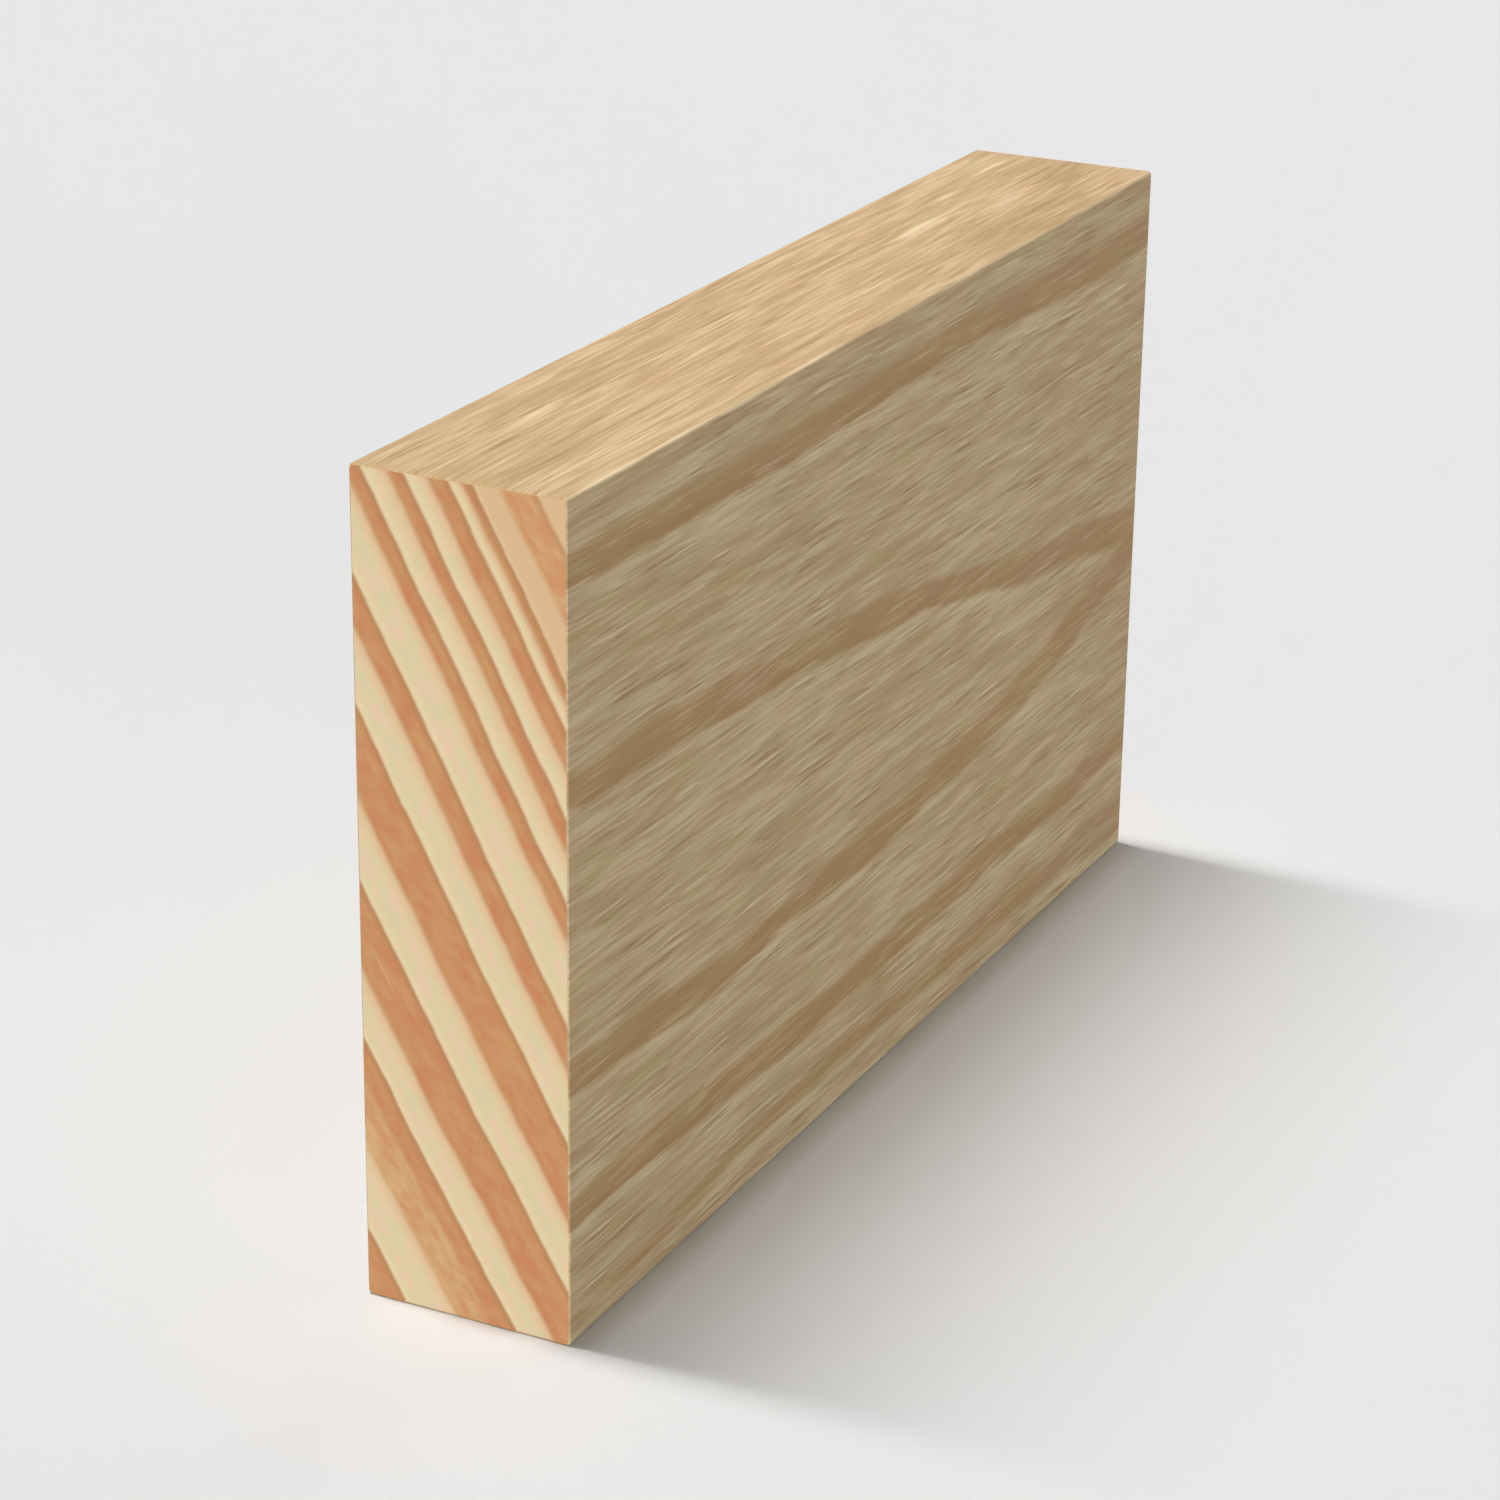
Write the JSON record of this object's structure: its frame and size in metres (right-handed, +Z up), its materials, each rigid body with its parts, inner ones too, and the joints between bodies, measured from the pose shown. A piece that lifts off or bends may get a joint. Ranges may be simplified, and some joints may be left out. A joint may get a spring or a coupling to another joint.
{
  "type": "rectangular moulding strip",
  "caption": "Short length of planed softwood strip of plain rectangular section, with fine eased arrises and square sawn ends that show the growth rings.",
  "frame": {"origin": "bottom centre: the middle of the narrow lower edge that the strip stands on", "axes": "+X along the grain from the near sawn end to the far one, +Y through the thickness from the face side to the back, +Z up the wide face"},
  "size_m": [0.113, 0.018, 0.068],
  "materials": {
    "planed_softwood": "bare planed softwood, pale cream with tan growth rings, matt"
  },
  "bodies": {
    "root": {"moulding_strip": "planed_softwood"}
  },
  "joints": []
}
